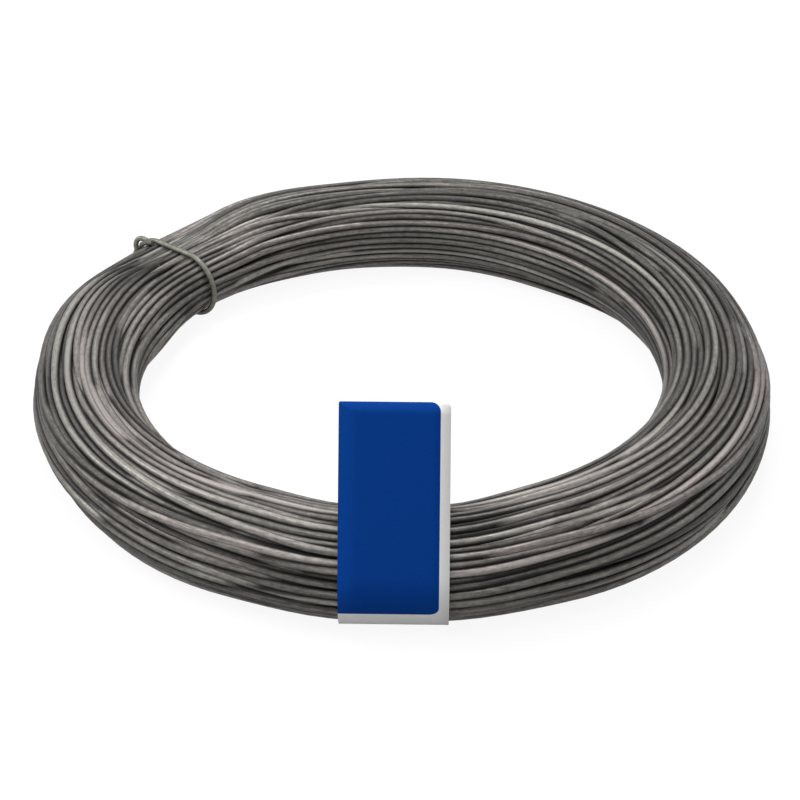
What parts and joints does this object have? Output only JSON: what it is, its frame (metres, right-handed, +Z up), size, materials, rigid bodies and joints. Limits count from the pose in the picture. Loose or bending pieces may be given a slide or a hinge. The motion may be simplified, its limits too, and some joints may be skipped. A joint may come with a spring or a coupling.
{
  "type": "coil of annealed steel wire",
  "caption": "Flat-lying coil of dark annealed steel wire, bundled as a ring with an open bore, held by a thin tie wire and carrying a folded card label.",
  "frame": {"origin": "on the floor under the middle of the bore", "axes": "+Z up along the coil's axis, -Y to the front where the card label is, +X to the right"},
  "size_m": [0.2696, 0.2706, 0.0694],
  "materials": {
    "wire": "dull dark grey-brown oxide left by annealing, drawn surface",
    "tie": "dull grey annealed wire",
    "card": "smooth white card with a printed blue block"
  },
  "bodies": {
    "root": {"wire_coil": "wire", "tie_wire": "tie", "label_card": "card"}
  },
  "joints": []
}
